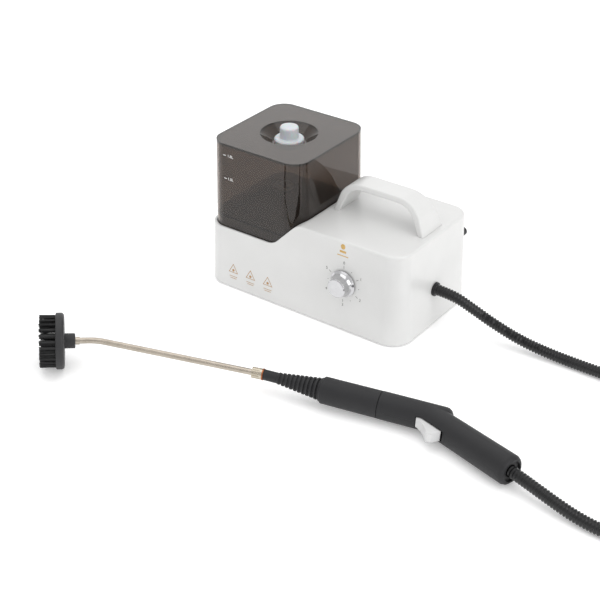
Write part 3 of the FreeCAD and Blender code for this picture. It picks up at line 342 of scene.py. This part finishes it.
def corrugatedTube(line, look):
    step = look["pitch"] / 4
    rings = evenlySpaced(line, step)
    radii = (look["crest"], look["crest"], look["valley"], look["valley"])  # one pitch of the corrugation
    verts, faces = [], []
    along = (rings[1] - rings[0]).normalized()
    side = along.orthogonal().normalized()
    for k, at in enumerate(rings):
        ahead = (rings[min(k + 1, len(rings) - 1)] - rings[max(k - 1, 0)]).normalized()
        side = along.rotation_difference(ahead) @ side
        along = ahead
        other = along.cross(side)
        for j in range(look["sides"]):
            angle = 2 * math.pi * j / look["sides"]
            verts.append(at + (side * math.cos(angle) + other * math.sin(angle)) * radii[k % 4])
    n = look["sides"]
    for k in range(len(rings) - 1):
        for j in range(n):
            a, b = k * n + j, k * n + (j + 1) % n
            faces.append((a, b, b + n, a + n))
    faces.append(tuple(reversed(range(n))))
    faces.append(tuple(range((len(rings) - 1) * n, len(rings) * n)))
    mesh = bpy.data.meshes.new("hoseTube")
    mesh.from_pydata(verts, [], faces)
    return mesh


def makeHose(look):
    line = splineLine(hoseRoute(look))
    hose = bpy.data.objects.new("hoseTube", corrugatedTube(line, look))
    bpy.context.scene.collection.objects.link(hose)
    hose.data.materials.append(finishes["hosePolyamide"])
    pick(hose)
    bpy.ops.object.shade_smooth_by_angle(angle=math.radians(look["smoothAt"]))
    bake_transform(hose)
    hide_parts("hose_to_coil", "hose_coil", "hose_to_gun")
    print("hose length", round(sum((b - a).length for a, b in zip(line, line[1:])), 3))


makeHose(hoseLook)


# moulded and turned pieces: merged, smoothed copies of the CAD solids
smoothNodes = ["housing", "base_plate", "feet", "carry_handle", "tank_body", "tank_lid", "tank_stopper",
               "dial_knob", "hose_outlet", "cable_gland", "lance_tube", "lance_nut", "copper_washer",
               "ribbed_boot", "front_sleeve", "gun_shell_left", "gun_shell_right", "trigger", "hose_cuff",
               "brush_ferrule", "brush_head", "tank_valve_cage", "tank_poppet", "dock_socket"]


weldWithin = 0.000002  # CAD meshes are loose triangles; equal corners lie closer than this


def smoothSkin(node, angle=32):
    source = frame["nodes"][node]
    words = node.split("_")
    skin = bpy.data.objects.new(words[0] + "".join(w.capitalize() for w in words[1:]), source.data.copy())
    bpy.context.scene.collection.objects.link(skin)
    pick(skin)
    bpy.ops.object.mode_set(mode="EDIT")
    bpy.ops.mesh.select_all(action="SELECT")
    bpy.ops.mesh.remove_doubles(threshold=weldWithin)
    bpy.ops.object.mode_set(mode="OBJECT")
    if skin.data.has_custom_normals:
        bpy.ops.mesh.customdata_custom_splitnormals_clear()
    bpy.ops.object.shade_smooth_by_angle(angle=math.radians(angle))
    bpy.ops.object.modifier_add(type="WEIGHTED_NORMAL")
    skin.modifiers[0].keep_sharp = True
    skin.modifiers[0].weight = 90
    bpy.ops.object.modifier_apply(modifier=skin.modifiers[0].name)
    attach(skin, bodyOf[node])
    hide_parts(node)
    return skin


skins = {node: smoothSkin(node) for node in smoothNodes}
print("smoothed pieces:", len(skins))


# printed marks
inkDepth = 0.00012


def frontAt(node, x, z):
    _, place, _, _ = skins[node].ray_cast(Vector((x, -2.0, z)), Vector((0, 1, 0)))
    return place


def faceMatrix(node, x, z):
    low, high = frontAt(node, x, z - 0.004), frontAt(node, x, z + 0.004)
    up = (high - low).normalized()
    out = Vector((1, 0, 0)).cross(up)
    turn = Matrix((Vector((1, 0, 0)), up, out)).transposed().to_4x4()
    return Matrix.Translation((low + high) / 2) @ turn


def layOn(mark, node, x, z, turn=0.0):
    mark.matrix_world = faceMatrix(node, x, z) @ Matrix.Rotation(turn, 4, "Z")


def thicken(mark):
    pick(mark)
    bpy.ops.object.modifier_add(type="SOLIDIFY")
    mark.modifiers[0].thickness = inkDepth
    mark.modifiers[0].offset = 1
    bpy.ops.object.modifier_apply(modifier=mark.modifiers[0].name)


def barMark(width, height):
    deselectAll()
    bpy.ops.mesh.primitive_plane_add(size=1)
    bar = bpy.context.object
    bar.scale = (width, height, 1)
    bpy.ops.object.transform_apply(scale=True)
    thicken(bar)
    return bar


def dotMark(radius, stretch=1.0):
    deselectAll()
    bpy.ops.mesh.primitive_circle_add(vertices=24, radius=radius, fill_type="NGON")
    dot = bpy.context.object
    dot.scale = (1, stretch, 1)
    bpy.ops.object.transform_apply(scale=True)
    thicken(dot)
    return dot


def wordMark(words, size):
    deselectAll()
    bpy.ops.object.text_add()
    word = bpy.context.object
    word.data.body = words
    word.data.size = size
    word.data.align_x, word.data.align_y = "CENTER", "CENTER"
    bpy.ops.object.convert(target="MESH")
    thicken(bpy.context.object)
    return bpy.context.object


def triangleMark(width, line):
    deselectAll()
    bpy.ops.mesh.primitive_circle_add(vertices=3, radius=width / math.sqrt(3), fill_type="NGON")
    triangle = bpy.context.object
    bpy.ops.object.mode_set(mode="EDIT")
    bpy.ops.mesh.select_all(action="SELECT")
    bpy.ops.mesh.inset(thickness=line)
    bpy.ops.mesh.delete(type="FACE")
    bpy.ops.object.mode_set(mode="OBJECT")
    thicken(triangle)
    return triangle


def joinMarks(marks, name, finish, body):
    deselectAll()
    for mark in marks:
        mark.select_set(True)
    bpy.context.view_layer.objects.active = marks[0]
    bpy.ops.object.transform_apply(location=True, rotation=True, scale=True)
    bpy.ops.object.join()
    settle(bpy.context.object, name, finish, body)


dialPrint = {"x": 0.068, "z": 0.0678, "digitRadius": 0.0296, "digitSize": 0.0056, "tickRadius": 0.0238,
             "tickLong": 0.0038, "tickWide": 0.0006, "dotRadius": 0.0232, "dot": 0.0005}


def printDial(look):
    marks = []
    for k in range(6):
        for half in (0, 1):
            angle = math.radians(60 * k + 30 * half)
            if half and k == 5:
                continue
            across, up = math.sin(angle), math.cos(angle)
            reach = look["dotRadius"] if half else look["tickRadius"]
            x = machineAt.x + look["x"] + across * reach
            mark = dotMark(look["dot"]) if half else barMark(look["tickWide"], look["tickLong"])
            layOn(mark, "housing", x, look["z"] + up * reach, -angle)
            marks.append(mark)
            if not half:
                digit = wordMark(str(k), look["digitSize"])
                layOn(digit, "housing", machineAt.x + look["x"] + across * look["digitRadius"],
                      look["z"] + up * look["digitRadius"])
                marks.append(digit)
    joinMarks(marks, "dialPrint", finishes["greyInk"], "root")


signPrint = {"x": 0.0655, "dotZ": 0.1195, "dot": 0.0033, "waveZ": 0.1125, "wave": (0.0095, 0.0030),
             "lineZ": 0.1068, "line": (0.0165, 0.0012)}


def printSign(look):  # a plain round mark over two short bars
    x = machineAt.x + look["x"]
    marks = [dotMark(look["dot"], 1.1), barMark(*look["wave"]), barMark(*look["line"])]
    for mark, z in zip(marks, (look["dotZ"], look["waveZ"], look["lineZ"])):
        layOn(mark, "housing", x, z)
    joinMarks(marks, "signPrint", finishes["goldInk"], "root")


trianglePrint = {"places": (-0.1079, -0.0793, -0.0507), "z": 0.0285, "width": 0.0155, "line": 0.0008,
                 "dot": 0.0019, "dotDrop": 0.0008, "bars": ((0.0185, 0.0128), (0.0158, 0.0100)),
                 "barHigh": 0.0008}


def printTriangles(look):
    marks = []
    for place in look["places"]:
        x = machineAt.x + place
        triangle = triangleMark(look["width"], look["line"])
        layOn(triangle, "housing", x, look["z"])
        dot = dotMark(look["dot"])
        layOn(dot, "housing", x, look["z"] - look["dotDrop"])
        marks += [triangle, dot]
        for z, width in look["bars"]:
            bar = barMark(width, look["barHigh"])
            layOn(bar, "housing", x, z)
            marks.append(bar)
    joinMarks(marks, "trianglePrint", finishes["copperInk"], "root")


levelPrint = {"dashX": (-0.1222, -0.1212), "textX": -0.1130, "z": (0.1900, 0.1578), "words": ("1.8L", "1.0L"),
              "dash": (0.0042, 0.0009), "size": 0.0054}


def printLevels(look):
    marks = []
    for dashX, z, words in zip(look["dashX"], look["z"], look["words"]):
        dash = barMark(*look["dash"])
        layOn(dash, "tank_body", machineAt.x + dashX, z)
        word = wordMark(words, look["size"])
        layOn(word, "tank_body", machineAt.x + look["textX"], z)
        marks += [dash, word]
    joinMarks(marks, "levelPrint", finishes["whiteInk"], "tank")


printDial(dialPrint)
printSign(signPrint)
printTriangles(trianglePrint)
printLevels(levelPrint)
print("marks printed")

# bristles
bristleLook = {"perTuft": 16, "thick": 0.00032, "sides": 5, "filled": 0.78, "gathered": 0.8, "flare": 0.0004,
               "stray": 0.0003, "bow": 0.3, "waist": 0.95, "tip": 0.8, "uneven": 0.0012, "smoothAt": 60,
               "seed": 7}
goldenAngle = 2.39996  # radians: spreads the bristles of a tuft evenly


def tuftsOf(node, axis):
    shape = bmesh.new()
    shape.from_mesh(frame["nodes"][node].data)
    bmesh.ops.remove_doubles(shape, verts=shape.verts[:], dist=weldWithin)
    left, tufts = set(shape.verts), []
    while left:
        seen, stack = [], [left.pop()]
        while stack:
            v = stack.pop()
            seen.append(v.co.copy())
            for edge in v.link_edges:
                other = edge.other_vert(v)
                if other in left:
                    left.discard(other)
                    stack.append(other)
        low = min(p.dot(axis) for p in seen)
        high = max(p.dot(axis) for p in seen)
        middle = sum(seen, Vector()) / len(seen)
        root = middle + axis * (low - middle.dot(axis))
        wide = max((p - root - axis * (p - root).dot(axis)).length for p in seen)
        tufts.append((root, high - low, wide))
    shape.free()
    return sorted(tufts, key=lambda t: tuple(t[0]))


def makeBristles(look):
    axis = Vector(next(j for j in frame["joints"] if j["name"] == "brush_pull")["axis"]).normalized()
    side = axis.orthogonal().normalized()
    other = axis.cross(side)
    dice = random.Random(look["seed"])
    n, stray = look["sides"], look["stray"]
    verts, faces = [], []
    for root, long, wide in tuftsOf("bristles", axis):
        for k in range(look["perTuft"]):
            angle = k * goldenAngle
            aside = side * math.cos(angle) + other * math.sin(angle)
            reach = wide * look["filled"] * math.sqrt((k + 0.5) / look["perTuft"])
            foot = root + aside * reach * look["gathered"]
            lean = aside * reach / wide * look["flare"]
            lean += side * dice.uniform(-stray, stray) + other * dice.uniform(-stray, stray)
            tip = foot + axis * (long - dice.uniform(0, look["uneven"])) + lean
            start = len(verts)
            middle = foot.lerp(tip, 0.5) - lean * look["bow"]
            for at, scale in ((foot, 1.0), (middle, look["waist"]), (tip, look["tip"])):
                for j in range(n):
                    turn = 2 * math.pi * j / n
                    outward = side * math.cos(turn) + other * math.sin(turn)
                    verts.append(at + outward * look["thick"] * scale)
            for ring in (0, 1):
                for j in range(n):
                    a, b = start + ring * n + j, start + ring * n + (j + 1) % n
                    faces.append((a, b, b + n, a + n))
            faces.append(tuple(start + j for j in reversed(range(n))))
            faces.append(tuple(start + 2 * n + j for j in range(n)))
    mesh = bpy.data.meshes.new("brushBristles")
    mesh.from_pydata(verts, [], faces)
    mesh.materials.append(finishes["bristleNylon"])
    piece = bpy.data.objects.new("brushBristles", mesh)
    bpy.context.scene.collection.objects.link(piece)
    pick(piece)
    bpy.ops.object.shade_smooth_by_angle(angle=math.radians(look["smoothAt"]))
    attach(piece, "brush")
    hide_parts("bristles")


makeBristles(bristleLook)
print("bristles made")

# floor and light
lightPlace = {"sky": 0.80, "skyColour": "#FFFFFF", "floorGlow": 0.2, "floorSize": 30,
              "aimAt": (0, 0.05, 0.05),
              "top": {"at": (-0.3, 0.2, 2.2), "size": 2.4, "watts": 18},
              "back": {"at": (-1.5, 2.0, 1.6), "size": 1.6, "watts": 5.2},
              "right": {"at": (2.2, -0.3, 1.1), "size": 1.8, "watts": 20},
              "front": {"at": (-0.9, -2.2, 1.3), "size": 1.6, "watts": 4}}


def makeStage(look):
    deselectAll()
    bpy.ops.mesh.primitive_plane_add(size=look["floorSize"], location=(0, 0, 0))
    floor = bpy.context.object
    floor.name = "studioFloor"
    floor.data.materials.append(makeFinish("paintedFloor", {
        "colours": ("#F8F8F8", "#FBFBFB"), "mottleMm": 900, "grainMm": 30, "rough": (0.9, 0.95), "bump": 0.0,
        "reliefMm": 0.01, "sockets": {"Emission Strength": look["floorGlow"]}}))
    world = bpy.data.worlds.new("studio")
    world.use_nodes = True
    sky = world.node_tree.nodes["Background"]
    sky.inputs["Color"].default_value = linearColour(look["skyColour"])
    sky.inputs["Strength"].default_value = look["sky"]
    bpy.context.scene.world = world
    for name in ("top", "back", "right", "front"):
        light = look[name]
        bpy.ops.object.light_add(type="AREA", location=light["at"])
        lamp = bpy.context.object
        lamp.name = name + "Softbox"
        lamp.data.size = light["size"]
        lamp.data.energy = light["watts"]
        aim = Vector(look["aimAt"]) - lamp.location
        lamp.rotation_mode = "QUATERNION"
        lamp.rotation_quaternion = aim.to_track_quat("-Z", "Y")


makeStage(lightPlace)
print("stage lit")
